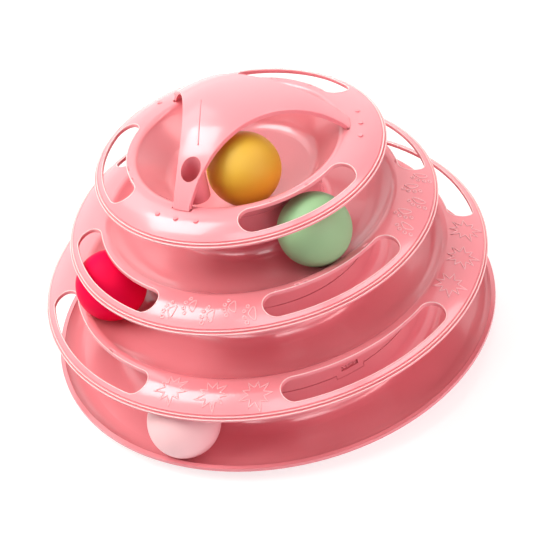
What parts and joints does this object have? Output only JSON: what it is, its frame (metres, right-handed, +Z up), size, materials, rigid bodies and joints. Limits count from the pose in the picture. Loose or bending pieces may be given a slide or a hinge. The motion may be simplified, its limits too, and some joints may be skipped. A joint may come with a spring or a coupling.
{
  "type": "cat ball track toy",
  "caption": "Round stacked tower toy for cats: a tray and clip-together tiers with ball tracks, paw slots and loose hollow balls, and a legged guard with a wand socket over the top bowl.",
  "frame": {"origin": "on the ground under the tower's axis", "axes": "+Z up along the tower's axis; -Y is the front, near the middle of a paw slot of every tier"},
  "size_m": [0.25, 0.25, 0.1587],
  "materials": {
    "tower_plastic": "moulded glossy pink plastic",
    "base_ball": "moulded satin pale pink plastic",
    "lower_ball": "moulded satin crimson plastic",
    "middle_ball": "moulded satin mint green plastic",
    "top_ball": "moulded satin orange-yellow plastic",
    "pad_rubber": "matt pale rubber"
  },
  "bodies": {
    "base": {"base_tray": "tower_plastic", "anti_slip_pad_1": "pad_rubber", "anti_slip_pad_2": "pad_rubber", "anti_slip_pad_3": "pad_rubber", "anti_slip_pad_4": "pad_rubber", "anti_slip_pad_5": "pad_rubber", "anti_slip_pad_6": "pad_rubber"},
    "lower_tier": {"lower_tier": "tower_plastic"},
    "middle_tier": {"middle_tier": "tower_plastic"},
    "upper_tier": {"upper_tier": "tower_plastic"},
    "guard_bridge": {"guard_bridge": "tower_plastic"},
    "base_ball": {"base_ball": "base_ball"},
    "lower_ball": {"lower_ball": "lower_ball"},
    "middle_ball": {"middle_ball": "middle_ball"},
    "top_ball": {"top_ball": "top_ball"}
  },
  "joints": [
    {"name": "lower_tier_lift", "type": "slide", "parent": "base", "child": "lower_tier", "axis": [0, 0, 1], "range_m": [0, 0.07]},
    {"name": "middle_tier_lift", "type": "slide", "parent": "lower_tier", "child": "middle_tier", "axis": [0, 0, 1], "range_m": [0, 0.07]},
    {"name": "upper_tier_lift", "type": "slide", "parent": "middle_tier", "child": "upper_tier", "axis": [0, 0, 1], "range_m": [0, 0.07]},
    {"name": "guard_lift", "type": "slide", "parent": "upper_tier", "child": "guard_bridge", "axis": [0, 0, 1], "range_m": [0, 0.07]},
    {"name": "base_ball_roll", "type": "hinge", "parent": "base", "child": "base_ball", "pos_m": [0, 0, 0], "axis": [0, 0, 1], "continuous": true},
    {"name": "lower_ball_roll", "type": "hinge", "parent": "lower_tier", "child": "lower_ball", "pos_m": [0, 0, 0], "axis": [0, 0, 1], "continuous": true},
    {"name": "middle_ball_roll", "type": "hinge", "parent": "middle_tier", "child": "middle_ball", "pos_m": [0, 0, 0], "axis": [0, 0, 1], "continuous": true},
    {"name": "top_ball_roll", "type": "hinge", "parent": "upper_tier", "child": "top_ball", "pos_m": [0, 0, 0], "axis": [0, 0, 1], "range_deg": [-7, 294.4]}
  ]
}
